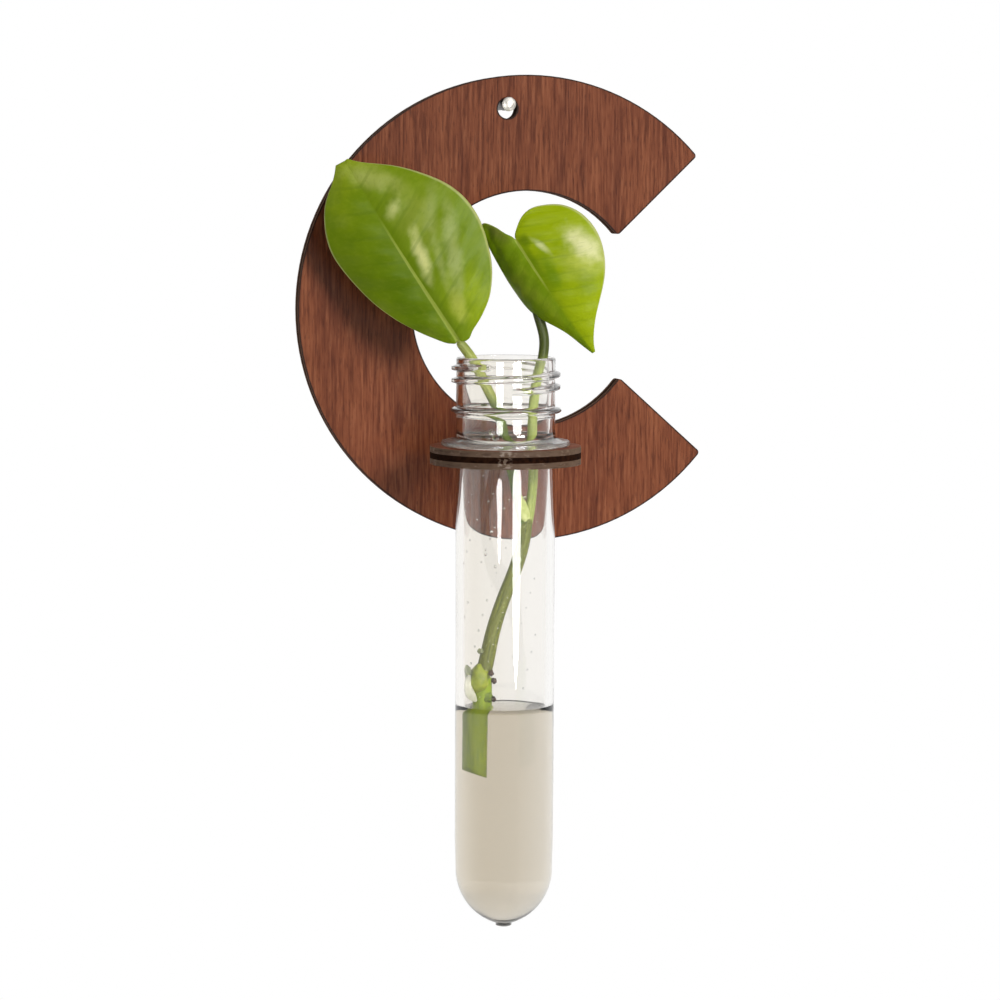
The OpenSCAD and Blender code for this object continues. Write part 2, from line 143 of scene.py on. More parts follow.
# The plant's paths, as in the CAD source: X and Y are shares of the bore's radius from the
# tube's axis, and Z is a share of the empty depth, downwards from the lip.
LEFT_STALK_SHARES = [
    (-1.17, -0.01, -0.046), (-1, 0.02, -0.023), (-0.82, 0.05, 0.005), (-0.65, 0.08, 0.04),
    (-0.51, 0.1, 0.072), (-0.34, 0.12, 0.11), (-0.17, 0.13, 0.151), (-0.06, 0.14, 0.194),
    (0.01, 0.15, 0.235), (0.12, 0.16, 0.289), (0.23, 0.17, 0.337), (0.31, 0.18, 0.386),
    (0.42, 0.18, 0.43), (0.56, 0.18, 0.478),
]
RIGHT_STALK_SHARES = [
    (0.106, -0.54, -0.329), (0.29, -0.34, -0.276), (0.56, -0.16, -0.198), (0.76, -0.06, -0.124),
    (0.91, -0.1, -0.055), (0.86, -0.19, 0.003), (0.75, -0.08, 0.066), (0.69, 0.04, 0.16),
    (0.7, 0.1, 0.24), (0.74, 0.14, 0.33), (0.71, 0.17, 0.408), (0.6, 0.18, 0.475),
]
# The small leaf's stalk stops just behind the leaf
RIGHT_STALK_TOP = (0.13, -0.485, -0.31)
STEM_SHARES = [
    (0.59, 0.18, 0.462), (0.5, 0.18, 0.53), (0.31, 0.17, 0.6), (0, 0.16, 0.69),
    (-0.24, 0.15, 0.775), (-0.39, 0.13, 0.85), (-0.49, 0.12, 0.9),
]
SHEATH_SHARES = [(0.4, 0.04, 0.395), (0.47, 0.07, 0.434), (0.57, 0.12, 0.474)]
NODE_SHARE = (-0.6, 0.11, 0.915)
BUD_SHARE = (-0.46, 0.06, 0.968)
STUB_SHARE = (-0.52, 0.16, 1)
NUB_SHARES = [
    (-0.88, 0.02, 0.898), (-0.36, -0.12, 0.897), (-0.25, 0.05, 0.922), (-0.28, 0, 0.973),
    (-0.58, 0.02, 0.835),
]
# The nubs that are still green, by their places in the list above
GREEN_NUBS = (0, 4)
# The dry scale's path, in shares of the joint's radius from its middle
SCALE_SHARES = [(-0.9, -0.6, 0.4), (-1, -0.5, -0.35), (-0.8, -0.5, -1.15), (-0.3, -0.4, -1.8)]
STALK_R = 1.35 * MM
STEM_R = 1.65 * MM
STEM_SWELL = 1.2
STUB_R = 2.4 * MM
STUB_DEPTH = 17.6 * MM
STUB_SLANT = radians(22)
NODE_R = 3.1 * MM
BUD_R = 1.75 * MM
# The two scales: half width, where it is widest, half thickness
DRY_SCALE = (1.2 * MM, 0.65, 0.28 * MM)
STALK_SCALE = (1.5 * MM, 0.7, 0.9 * MM)
SCALE_END_R = 0.3 * MM
LARGE_NUB = (0.85 * MM, 0.8 * MM, 1.5 * MM)
SMALL_NUB = (0.65 * MM, 0.6 * MM, 0.7 * MM)

# Leaf outlines, as in the CAD source: shares of the leaf's length
RIB_SHARES = [0, 0.008, 0.025, 0.05, 0.1, 0.2, 0.36, 0.56, 0.78, 0.93, 1]
LARGE_LEFT_SHARES = [
    (0, 0.018), (0.012, 0.036), (0.03, 0.06), (0.079, 0.1), (0.15, 0.15), (0.28, 0.225),
    (0.46, 0.287), (0.67, 0.306), (0.85, 0.225), (0.955, 0.098), (1.004, 0.05),
]
LARGE_RIGHT_SHARES = [
    (-0.006, 0.02), (-0.015, 0.052), (0.01, 0.09), (0.05, 0.17), (0.12, 0.26), (0.25, 0.342),
    (0.46, 0.397), (0.64, 0.365), (0.82, 0.225), (0.945, 0.068), (1, 0.012),
]
SMALL_LEFT_SHARES = [
    (-0.03, 0.015), (-0.13, 0.085), (-0.235, 0.165), (-0.215, 0.228), (-0.1, 0.255),
    (0.09, 0.285), (0.3, 0.31), (0.51, 0.28), (0.74, 0.115), (0.91, 0.045), (1, 0.006),
]
SMALL_RIGHT_SHARES = [
    (-0.02, 0.012), (-0.08, 0.075), (-0.137, 0.187), (-0.13, 0.297), (-0.03, 0.445),
    (0.139, 0.53), (0.34, 0.522), (0.57, 0.4), (0.79, 0.168), (0.92, 0.05), (1, 0.006),
]
LARGE_LEAF_LEN = 52.9 * MM
SMALL_LEAF_LEN = 34 * MM
LARGE_LEAF_TURN = (-98.4, -57.5, 162.6)
SMALL_LEAF_TURN = (118.4, 54.7, -8.8)
LARGE_FOLD = radians(10)
SMALL_FOLD = radians(22)
LEAF_T = 0.45 * MM
# A leaf's bows, as shares of its length and of its half width, and the groove along its midrib
RIB_BOW = 0.035
HALF_BOW = 0.09
RIB_GROOVE = 0.35 * MM
RIB_GROOVE_RUN = 0.9 * MM
# Side veins: how far they lean to the tip, and how close they stand, in radians a leaf's length
VEIN_LEAN = 0.5
VEIN_RATE = 46
# A leaf's swells and its margins' waves: (swells' height, waves' height, waves' rate, the left
# and the right wave's phase)
LARGE_WAVES = (0.36 * MM, 0.9 * MM, 9, (0, 1.5))
SMALL_WAVES = (0.2 * MM, 0.6 * MM, 8, (2, 0.6))
# The small leaf's rolled lobes: how far they roll, from where towards the margin, and where along
LEFT_ROLL = Vector((0.3, 0.5, 1.1)) * MM
RIGHT_ROLL = Vector((0.54, -0.36, 0.9)) * MM
ROLL_START, ROLL_MID, ROLL_RUN = 0.72, 0.3, 0.16
# Soft tints on the leaves, some of them pale streaks that are painted highlights: (along, across,
# length, width, turn in degrees, strength, colour). Places and sizes are shares of the leaf's length,
# and a colour has its 0 to 255 values.
LARGE_PATCHES = [
    (0.12, 0.17, 0.24, 0.14, 0, 0.85, (144, 164, 22)),
    (0.97, -0.03, 0.15, 0.2, 0, 0.8, (142, 158, 34)),
    (0.3, -0.08, 0.34, 0.1, 0, 0.7, (86, 112, 4)),
    (0.87, -0.14, 0.2, 0.08, 0, 0.6, (132, 152, 24)),
    # From here on: pale grey-green streaks, painted highlights that stand for the leaf's gloss
    (0.6, 0.16, 0.3, 0.13, 0, 0.7, (138, 152, 58)),
    (0.86, 0.07, 0.18, 0.07, -43, 0.9, (164, 172, 90)),
    (0.37, 0.215, 0.36, 0.05, 25, 0.9, (154, 166, 94)),
    (0.36, 0.14, 0.2, 0.03, 18, 0.8, (150, 164, 84)),
    (0.43, 0.08, 0.16, 0.045, 14, 1, (212, 214, 138)),
    (0.69, 0.09, 0.07, 0.04, 60, 0.9, (190, 196, 118)),
    (0.14, 0.1, 0.1, 0.05, 20, 0.8, (182, 190, 78)),
    (0.6, 0.24, 0.16, 0.05, 35, 0.7, (150, 162, 88)),
]
SMALL_PATCHES = [
    (0.33, 0.09, 0.24, 0.09, 0, 0.85, (100, 130, 3)),
    (0.75, 0.2, 0.3, 0.25, 0, 0.6, (156, 174, 10)),
    # The next three: pale patches, painted highlights that stand for the leaf's gloss
    (0.4, 0.3, 0.2, 0.16, 30, 0.7, (186, 194, 84)),
    (0.3, 0.38, 0.24, 0.1, 12, 0.9, (226, 224, 166)),
    (0.13, 0.14, 0.11, 0.03, 20, 0.8, (212, 216, 154)),
    (-0.13, -0.09, 0.17, 0.09, 20, 0.9, (106, 114, 46)),
    (0.7, -0.1, 0.3, 0.1, 0, 0.7, (128, 154, 10)),
    (0.04, 0.06, 0.07, 0.05, 0, 0.8, (88, 112, 8)),
    (0.24, 0.03, 0.22, 0.05, 0, 0.7, (90, 118, 4)),
]

# How finely the pieces are cut. A step is a row's height on one of the tube's straight walls.
TUBE_SIDES, END_STEPS = 176, 26
BODY_STEP, NECK_STEP, BEAD_STEP = 9 * MM, 1.2 * MM, 0.8 * MM
THREAD_STEP, NECK_BORE_STEP, BORE_STEP = 0.13 * MM, 6 * MM, 15 * MM
WATER_SIDES, WATER_RINGS = 120, 34
STEM_SIDES, STEM_STEPS = 20, 7
SCALE_SIDES, SCALE_STEPS = 12, 8
STUB_SIDES, STUB_RINGS = 28, 16
LEAF_ROWS, LEAF_COLUMNS = 54, 15
FLOOR_SIDES = 96

# Wood grain: bands, streaks and pores as (cells a metre across, cells a metre along, detail)
GRAIN = [(150, 8, 3), (1400, 80, 3), (2700, 280, 2)]

# Camera, floor and lamps
CAMERA_PLACE = Vector((-184.7 * MM, -781 * MM, -22.8 * MM))
CAMERA_YAW = radians(13.27)
CAMERA_PITCH = radians(-5.654)
CAMERA_ROLL = radians(0.243)
CAMERA_LENS = 111.36
CAMERA_SENSOR = 36
LIT_POINT = Vector((0, -20 * MM, -95 * MM))
FLOOR_Z = -0.42
FLOOR_R = 0.62
AMBIENT = 0.14
ROOM = 0.4
# Lamps: (name, azimuth, elevation, distance, size, watts, seen in gloss, lights the object).
# Azimuth 0 is in front of the plate, 90 to its right. The windows leave only their reflections.
LAMPS = [
    ("key", 22, 20, 1.2, (0.42, 0.42), 12.4, True, True),
    ("window", 12.5, -3.9, 1, (0.37, 0.28), 4.4, True, False),
    ("side_window", -27, -2, 1, (0.28, 0.2), 2.2, True, False),
    ("left_fill", -85, 5, 1.2, (0.6, 0.6), 3, False, True),
    ("right_fill", 95, 5, 1.2, (0.6, 0.6), 3, False, True),
    ("back", 168, 24, 1.3, (0.8, 0.6), 10, False, True),
]


def link(piece):
    """Puts a new object into the scene."""
    bpy.context.scene.collection.objects.link(piece)
    return piece


def smooth_step(value):
    """0 below 0, 1 above 1, and a smooth rise between."""
    held = min(1, max(0, value))
    return held * held * (3 - 2 * held)


def along(points, place):
    """A point on a smooth curve through all of a list's points, at a position along the list."""
    last = len(points) - 1
    i = min(int(place), last - 1)
    a, b, c, d = (Vector(points[k]) for k in (max(i - 1, 0), i, i + 1, min(i + 2, last)))
    t = place - i
    bend = 2 * a - 5 * b + 4 * c - d
    twist = 3 * b - a - 3 * c + d
    return 0.5 * (2 * b + (c - a) * t + bend * t * t + twist * t ** 3)


def in_tube(share):
    """A place inside the tube, from shares of its bore and of its empty depth."""
    x, y, z = share
    return Vector((AXIS.x + x * BORE_R, AXIS.y + y * BORE_R, LIP_Z - z * AIR_H))


def strip_faces(rows, columns, closed):
    """Faces between neighbouring rows of points; closed rows join their last point to their first."""
    faces = []
    for i in range(rows - 1):
        for k in range(columns if closed else columns - 1):
            a = i * columns + k
            b = i * columns + (k + 1) % columns
            faces.append((a, b, b + columns, a + columns))
    return faces


def capped_faces(rows, sides):
    """Faces round closed rows of points, with the first and the last row shut."""
    last = (rows - 1) * sides
    ends = [tuple(range(sides)), tuple(range(last, last + sides))]
    return strip_faces(rows, sides, True) + ends


def taken(mesh):
    """The points and faces of a bmesh, which is freed."""
    points = [vertex.co.copy() for vertex in mesh.verts]
    faces = [tuple(vertex.index for vertex in face.verts) for face in mesh.faces]
    mesh.free()
    return points, faces


def smooth_mesh(name, points, faces, material):
    data = bpy.data.meshes.new(name)
    data.from_pydata(points, [], faces)
    mesh = bmesh.new()
    mesh.from_mesh(data)
    bmesh.ops.recalc_face_normals(mesh, faces=mesh.faces)
    mesh.to_mesh(data)
    mesh.free()
    for face in data.polygons:
        face.use_smooth = True
    data.materials.append(material)
    return link(bpy.data.objects.new(name, data))


def piece(name, points, faces, material, body, slot, stands_for=()):
    """A smooth mesh that rides on a CAD body and stands for some of its nodes."""
    made = smooth_mesh(name, points, faces, material)
    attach(made, body)
    if stands_for:
        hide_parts(*stands_for)
    return made


def dress(material, slot, *names):
    """Gives CAD nodes their finish."""
    for name in names:
        nodes[name].data.materials.clear()
        nodes[name].data.materials.append(material)


class Tree:
    """A node tree, with short calls that add nodes to it."""

    def __init__(self, tree):
        self.tree = tree

    def fill(self, node, values):
        """Feeds a node's sockets by name; an underscore in a name stands for a space."""
        for name, value in values.items():
            self.feed(node.inputs[name.replace("_", " ")], value)

    def feed(self, socket, value):
        """Links a socket to a node's output, or sets its value."""
        if isinstance(value, bpy.types.NodeSocket):
            self.tree.links.new(value, socket)
        else:
            socket.default_value = value

    def node(self, kind, *values, **named):
        """A new node, whose sockets are fed in order or by name."""
        made = self.tree.nodes.new("ShaderNode" + kind)
        for socket, value in zip(made.inputs, values):
            self.feed(socket, value)
        self.fill(made, named)
        return made


class Paint(Tree):
    """A material and its nodes."""

    def __init__(self, name):
        self.material = bpy.data.materials.new(name)
        self.material.use_nodes = True
        super().__init__(self.material.node_tree)
        self.tree.nodes.clear()
        self.shader = self.node("BsdfPrincipled")
        self.output = self.node("OutputMaterial", self.shader.outputs[0])
        coordinates = self.node("TexCoord").outputs
        # The point on the piece, in metres, at rest
        self.place = coordinates["Object"]
        self.normal = coordinates["Normal"]

    def set(self, **values):
        """Feeds the shader's sockets by name."""
        self.fill(self.shader, values)

    def math(self, operation, a, b=0.0):
        made = self.node("Math", a, b)
        made.operation = operation
        return made.outputs[0]

    def times(self, a, b):
        return self.math("MULTIPLY", a, b)

    def plus(self, a, b):
        return self.math("ADD", a, b)

    def minus(self, a, b):
        return self.math("SUBTRACT", a, b)

    def vector(self, operation, a, b=(0, 0, 0)):
        made = self.node("VectorMath", a, b)
        made.operation = operation
        return made.outputs[0 if operation in ("MULTIPLY", "SUBTRACT") else "Value"]

    def stretch(self, vector, x, y, z):
        return self.vector("MULTIPLY", vector, (x, y, z))

    def split(self, vector):
        return self.node("SeparateXYZ", vector).outputs

    def join(self, x, y, z):
        return self.node("CombineXYZ", x, y, z).outputs[0]

    def attribute(self, name):
        made = self.node("Attribute")
        made.attribute_name = name
        return made.outputs["Vector"]

    def noise(self, scale, detail=2.0, rough=0.5, vector=None):
        """Noise on a vector, or on the piece's points. scale may have a value for each axis."""
        vector = vector or self.place
        if isinstance(scale, tuple):
            vector, scale = self.stretch(vector, *scale), 1.0
        made = self.node("TexNoise", Vector=vector, Scale=scale, Detail=detail, Roughness=rough)
        return made.outputs["Fac"]

    def rise(self, value, low, high):
        """0 at low, 1 at high, and a smooth rise between; low may be the larger one."""
        made = self.node("MapRange", Value=value, From_Min=low, From_Max=high)
        made.interpolation_type = "SMOOTHSTEP"
        return made.outputs["Result"]

    def between(self, share, low, high):
        """A value that runs from low to high as share runs from 0 to 1."""
        return self.node("MapRange", Value=share, To_Min=low, To_Max=high).outputs["Result"]

    def mix(self, share, a, b, blend="MIX"):
        made = self.node("Mix")
        made.data_type = "RGBA"
        made.blend_type = blend
        self.fill(made, {"Factor": share, "A": a, "B": b})
        return made.outputs["Result"]

    def tint(self, base, colour, mask, strength):
        """A colour, tinted by another one where a mask is 1."""
        return self.mix(self.times(mask, strength), base, colour)

    def ramp(self, share, *stops):
        """A colour ramp through (position, colour) stops."""
        made = self.node("ValToRGB", share)
        for place, (position, colour) in enumerate(stops):
            if place < 2:
                stop = made.color_ramp.elements[place]
                stop.position = position
            else:
                stop = made.color_ramp.elements.new(position)
            stop.color = colour
        return made.outputs[0]

    def bump(self, height, distance, strength):
        made = self.node("Bump", Height=height, Distance=distance, Strength=strength)
        self.set(Normal=made.outputs[0])

    def veil(self, share, shader):
        """Mixes another shader over the material's own."""
        mixed = self.node("MixShader", share, self.shader.outputs[0], shader.outputs[0])
        self.feed(self.output.inputs[0], mixed.outputs[0])

    def let_lamps_through(self, share):
        """Clears the piece for rays to the lamps, so that it casts a pale shadow."""
        clear = self.node("BsdfTransparent", (share, share, share, 1))
        self.veil(self.node("LightPath").outputs["Is Shadow Ray"], clear)


def rgb(red, green, blue):
    """A colour from its 0 to 255 values, as the shader wants it."""
    return tuple((value / 255) ** 2.2 for value in (red, green, blue)) + (1,)


def grain(paint, across, length):
    """Wood grain on coordinates across and along it: broad bands, fine streaks and short pores."""
    wander = paint.noise((60, 1, 22), vector=paint.join(across, 0, length))
    bent = paint.join(paint.plus(across, paint.times(wander, 1.6 * MM)), 0, length)
    return [paint.noise((fineness, 1, run), detail, 0.6, bent) for fineness, run, detail in GRAIN]


def veneer_colour(paint, across, length):
    """The colour and the height of the brown veneer's face."""
    bands, fine, pores = grain(paint, across, length)
    base = paint.ramp(bands, (0.3, rgb(100, 52, 33)), (0.7, rgb(133, 76, 49)), (0.5, rgb(119, 65, 41)))
    streaked = paint.tint(base, rgb(80, 39, 23), paint.rise(fine, 0.48, 0.64), 0.7)
    pale_streaked = paint.tint(streaked, rgb(150, 92, 62), paint.rise(fine, 0.5, 0.32), 0.5)
    dark = paint.times(paint.rise(pores, 0.54, 0.68), 0.45)
    height = paint.minus(fine, paint.times(dark, 1.6))
    return paint.mix(dark, pale_streaked, rgb(60, 27, 15)), height


def edge_distance(paint):
    """How far a point on the plate's face is from the nearest cut edge."""
    flat = paint.stretch(paint.place, 1, 0, 1)
    from_mid = paint.vector("DISTANCE", flat, tuple(PLATE_MID))
    outer = paint.minus(PLATE_R, from_mid)
    inner = paint.minus(from_mid, WINDOW_R)
    apex = PLATE_MID + MOUTH_APEX * Vector((cos(MOUTH_TURN), 0, sin(MOUTH_TURN)))
    from_apex = paint.vector("SUBTRACT", flat, tuple(apex))
    sides = []
    for way in (-1, 1):
        turn = MOUTH_TURN + way * (MOUTH_HALF + pi / 2)
        sides.append(paint.vector("DOT_PRODUCT", from_apex, (cos(turn), 0, sin(turn))))
    mouth = paint.math("MAXIMUM", *sides)
    hole = paint.minus(paint.vector("DISTANCE", flat, (0, 0, HANG_HOLE_Z)), HANG_HOLE_R)
    nearest = paint.math("MINIMUM", paint.math("MINIMUM", outer, inner), mouth)
    return paint.math("MINIMUM", nearest, hole)


def sheet_face(paint, axis):
    """1 on a sheet's faces and 0 on its cut walls. axis is 0 to 2 for a sheet across X, Y or Z."""
    return paint.rise(paint.math("ABSOLUTE", paint.split(paint.normal)[axis]), 0.4, 0.6)


def pale_mark(paint):
    """Where the ring's front edge has a pale mark."""
    off = paint.vector("DISTANCE", paint.stretch(paint.place, 1, 1, 0), PALE_MARK_PLACE)
    torn = paint.rise(paint.noise((900, 900, 1300), 4), 0.46, 0.6)
    return paint.times(torn, paint.rise(off, 2.1 * MM, 1.0 * MM))


def make_plate_veneer():
    """Brown veneer with upright grain, darker along its cut edges."""
    paint = Paint("plate_veneer")
    x, _, z = paint.split(paint.place)
    colour, height = veneer_colour(paint, x, z)
    distance = paint.minus(edge_distance(paint), paint.times(paint.noise(700), 0.25 * MM))
    burnt = paint.minus(1, paint.rise(distance, 0.03 * MM, 0.38 * MM))
    face = paint.mix(burnt, colour, rgb(40, 23, 16))
    wall = paint.mix(paint.noise(500, 3), rgb(82, 58, 44), rgb(118, 88, 70))
    flat = sheet_face(paint, 1)
    paint.set(Base_Color=paint.mix(flat, wall, face), Specular_IOR_Level=0.08)
    paint.set(Roughness=paint.minus(paint.between(height, 0.86, 1.0), paint.times(flat, 0.42)))
    paint.bump(height, 0.06 * MM, 0.5)
    return paint.material


def make_ring_veneer():
    """The ring's veneer, whose cut edge shows end grain and pale blotches."""
    paint = Paint("ring_veneer")
    x, y, _ = paint.split(paint.place)
    colour, height = veneer_colour(paint, y, x)
    wall = paint.mix(paint.noise(500, 3), rgb(76, 57, 44), rgb(106, 86, 70))
    ends = paint.noise((260, 260, 1500), 2)
    wall = paint.tint(wall, rgb(60, 43, 33), paint.rise(ends, 0.5, 0.72), 0.6)
    blotch = paint.noise((420, 420, 700), 3)
    wall = paint.tint(wall, rgb(138, 118, 102), paint.rise(blotch, 0.56, 0.72), 0.5)
    clean = paint.mix(sheet_face(paint, 2), wall, colour)
    marked = paint.mix(pale_mark(paint), clean, rgb(142, 126, 112))
    paint.set(Base_Color=marked, Roughness=paint.between(ends, 0.62, 0.85), Specular_IOR_Level=0.2)
    paint.bump(height, 0.05 * MM, 0.4)
    return paint.material


def make_core():
    """The near-black fibres between the veneers."""
    paint = Paint("dark_core")
    fibres = paint.noise(900, 4)
    dark = paint.ramp(fibres, (0.3, rgb(22, 12, 7)), (0.7, rgb(46, 28, 18)))
    paint.set(Base_Color=paint.mix(pale_mark(paint), dark, rgb(104, 88, 76)))
    paint.set(Roughness=paint.between(fibres, 0.75, 0.95), Specular_IOR_Level=0.03)
    paint.bump(fibres, 0.08 * MM, 0.6)
    return paint.material


def make_steel():
    """Steel with a bright rim on the head, a greyer middle to the head, and a shank painted dark:
    painted shade for the shade in the plate's hole.
    """
    paint = Paint("nail_steel")
    x, y, z = paint.split(paint.place)
    radius = paint.vector("LENGTH", paint.join(x, 0, z))
    turned = paint.math("SINE", paint.times(radius, 9000))
    marks = paint.noise(1500, 3)
    head = paint.rise(y, HEAD_FOOT_Y, HEAD_FOOT_Y - 0.2 * MM)
    rim = paint.times(head, paint.rise(radius, 0.8 * MM, 1.2 * MM))
    bright = paint.ramp(marks, (0.3, rgb(206, 200, 190)), (0.7, rgb(240, 236, 228)))
    # Painted shade: the shank's dark steel stands for the shade in the plate's hole, and the head's
    # middle takes half of it.
    dark_shade_steel = paint.ramp(marks, (0.3, rgb(52, 46, 40)), (0.7, rgb(84, 76, 68)))
    paint.set(Base_Color=paint.mix(rim, paint.tint(dark_shade_steel, bright, head, 0.5), bright))
    paint.set(Metallic=paint.between(head, 0.4, 0.85), Roughness=paint.between(marks, 0.3, 0.5))
    paint.bump(paint.plus(marks, paint.times(turned, 0.4)), 0.03 * MM, 0.5)
    return paint.material


def make_clear_plastic():
    """Clear moulded plastic with faint flow lines, a little frosted at the ledge and the gate. Its warm
    tint, warmer on the tube's left, is painted shade that stands for warm shade seen through the glass.
    """
    paint = Paint("clear_plastic")
    flow = paint.noise((90, 90, 22), 2)
    bands = paint.noise((240, 240, 6), 1)
    specks = paint.noise(1400, 2)
    x, y, z = paint.split(paint.vector("SUBTRACT", paint.place, tuple(AXIS)))
    radius = paint.vector("LENGTH", paint.join(x, y, 0))
    slope_z = LIP_Z - LEDGE_SLOPE_TOP
    gate_z = LIP_Z - TUBE_LEN + GATE_H
    ledge = paint.times(
        paint.rise(radius, NECK_R + 0.1 * MM, NECK_R + 0.9 * MM),
        paint.rise(z, slope_z + 0.5 * MM, slope_z),
    )
    frost = paint.math("MAXIMUM", ledge, paint.rise(z, gate_z + 0.2 * MM, gate_z))
    # Painted shade: a warm tint, warmer on the tube's left and cooler on its right, for the warm shade
    # seen through the glass.
    warm = paint.mix(bands, (0.955, 0.94, 0.905, 1), (0.915, 0.885, 0.835, 1))
    cool = paint.mix(bands, (0.99, 0.98, 0.96, 1), (0.965, 0.95, 0.925, 1))
    clear = paint.mix(paint.rise(x, -6 * MM, 7 * MM), warm, cool)
    paint.set(Base_Color=paint.mix(frost, clear, (0.99, 0.96, 0.9, 1)), IOR=1.57)
    paint.set(Transmission_Weight=paint.between(frost, 1.0, 0.84))
    rough = paint.between(paint.rise(specks, 0.62, 0.75), 0.01, 0.06)
    paint.set(Roughness=paint.plus(rough, paint.times(frost, 0.18)))
    paint.bump(flow, 0.25 * MM, 0.35)
    paint.let_lamps_through(0.7)
    return paint.material


def paint_water(name, scale, rough, relief, clear):
    """Water with a faintly rippled face. clear is how much light it lets through to its shadow."""
    paint = Paint(name)
    ripple = paint.noise(scale, 1)
    paint.set(Base_Color=(1, 1, 1, 1), Transmission_Weight=1.0, IOR=WATER_IOR)
    paint.set(Roughness=paint.between(ripple, 0.0, rough))
    paint.bump(ripple, relief, 0.2)
    paint.let_lamps_through(clear)
    return paint


def make_water():
    """Water that darkens and warms with its depth: a painted tint that stands for the warm shade seen
    through the water.
    """
    paint = paint_water("water", (160, 160, 60), 0.02, 0.08 * MM, 0.8)
    # Painted shade: the absorption's warm colour stands for the warm shade seen through the water.
    cloud = paint.node("VolumeAbsorption", Color=WARM_SHADE_TINT, Density=WARM_SHADE_DENSITY)
    paint.feed(paint.output.inputs["Volume"], cloud.outputs[0])
    return paint.material


def patch_mask(paint, run, side, torn, patch):
    """1 in the middle of a soft torn patch on a leaf, 0 outside it."""
    along_share, across_share, length, width, turn = patch
    a = paint.minus(run, along_share)
    b = paint.minus(side, across_share)
    c, s = cos(radians(turn)), sin(radians(turn))
    off = paint.join(
        paint.plus(paint.times(a, c / length), paint.times(b, s / length)),
        paint.minus(paint.times(b, c / width), paint.times(a, s / width)),
        0,
    )
    return paint.rise(paint.plus(paint.vector("LENGTH", off), paint.times(torn, 0.9)), 1.55, 0.5)


def make_leaf(name, left, right, pale, shade, rib_end, patches):
    """A waxy leaf. The attribute leaf holds a point's shares of the leaf's length along and across
    it, and its way from the midrib, 0, to a margin: -1 at the left one, 1 at the right one.
    rib_end is where the pale midrib has faded. left and right colour the two halves; where the
    right half is lighter, as on the small leaf, that is painted light and the darker left half is
    painted shade. Pale patches are painted highlights, and the darkening along the midrib's groove
    is painted shade."""
    paint = Paint(name)
    run, side, across = paint.split(paint.attribute("leaf"))
    out = paint.math("ABSOLUTE", across)
    away = paint.math("ABSOLUTE", side)
    cloud = paint.noise(110, 3)
    fine = paint.noise(900, 3)
    torn = paint.noise(330, 4)
    # The two halves' own colours: the small leaf's lighter right half is painted light, and its darker
    # left half painted shade.
    base = paint.mix(paint.rise(across, -0.1, 0.12), left, right)
    # Patches of leaf colour, and pale patches that are painted highlights
    for *patch, strength, colour in patches:
        base = paint.tint(base, rgb(*colour), patch_mask(paint, run, side, torn, patch), strength)
    base = paint.tint(base, pale, paint.rise(cloud, 0.52, 0.75), 0.25)
    base = paint.tint(base, shade, paint.rise(cloud, 0.48, 0.25), 0.4)
    slant = paint.minus(run, paint.times(away, VEIN_LEAN))
    waves = paint.math("SINE", paint.times(slant, VEIN_RATE))
    lines = paint.times(paint.rise(waves, 0.86, 1.0), paint.rise(out, 1.0, 0.3))
    base = paint.tint(base, shade, lines, 0.28)
    twigs = paint.noise((60, 9, 1), 3, vector=paint.join(slant, out, 0))
    base = paint.tint(base, shade, paint.rise(twigs, 0.5, 0.7), 0.16)
    base = paint.tint(base, pale, paint.rise(twigs, 0.5, 0.32), 0.1)
    # Painted shade: darker along the midrib's groove, more towards the leaf's base
    rib_groove_shade = paint.times(paint.rise(out, 0.2, 0.04), paint.rise(run, 1.0, 0.3))
    base = paint.tint(base, shade, rib_groove_shade, 0.3)
    left_over = paint.minus(1, run)
    rib_width = paint.plus(0.005, paint.times(paint.times(left_over, left_over), 0.012))
    rib = paint.rise(paint.math("DIVIDE", away, rib_width), 1.0, 0.6)
    rib = paint.times(rib, paint.rise(run, rib_end, rib_end * 0.6))
    base = paint.tint(base, rgb(160, 172, 76), rib, 0.7)
    base = paint.tint(base, rgb(178, 182, 112), paint.rise(out, 0.955, 0.985), 0.8)
    gloss = paint.plus(paint.times(fine, 0.5), paint.times(twigs, 0.5))
    paint.set(Base_Color=base, Roughness=paint.between(gloss, 0.28, 0.4), Specular_IOR_Level=0.08)
    relief = paint.plus(paint.times(waves, -0.35), paint.times(twigs, -0.5))
    paint.bump(paint.plus(relief, paint.times(fine, 0.35)), 0.2 * MM, 0.5)
    return paint.material


def make_stem(name, light, dark, edge, tint=None):
    """A living stem. The attribute stem holds the way along it in metres and the angle round it.
    tint is (height where it starts, height where it is full, colour)."""
    paint = Paint(name)
    run, angle, _ = paint.split(paint.attribute("stem"))
    ring = paint.join(paint.math("COSINE", angle), paint.math("SINE", angle), run)
    fibres = paint.noise((4.8, 4.8, 144), 4, 0.6, ring)
    spots = paint.noise(1300, 2)
    colour = paint.ramp(fibres, (0.32, dark), (0.66, light))
    colour = paint.tint(colour, edge, paint.rise(spots, 0.6, 0.72), 0.4)
    if tint:
        start, full, shade = tint
        tinted = paint.rise(paint.split(paint.place)[2], start, full)
        colour = paint.mix(tinted, colour, shade, "MULTIPLY")
    paint.set(Base_Color=colour, Roughness=paint.between(fibres, 0.38, 0.55), Specular_IOR_Level=0.25)
    paint.bump(fibres, 0.12 * MM, 0.5)
    return paint.material


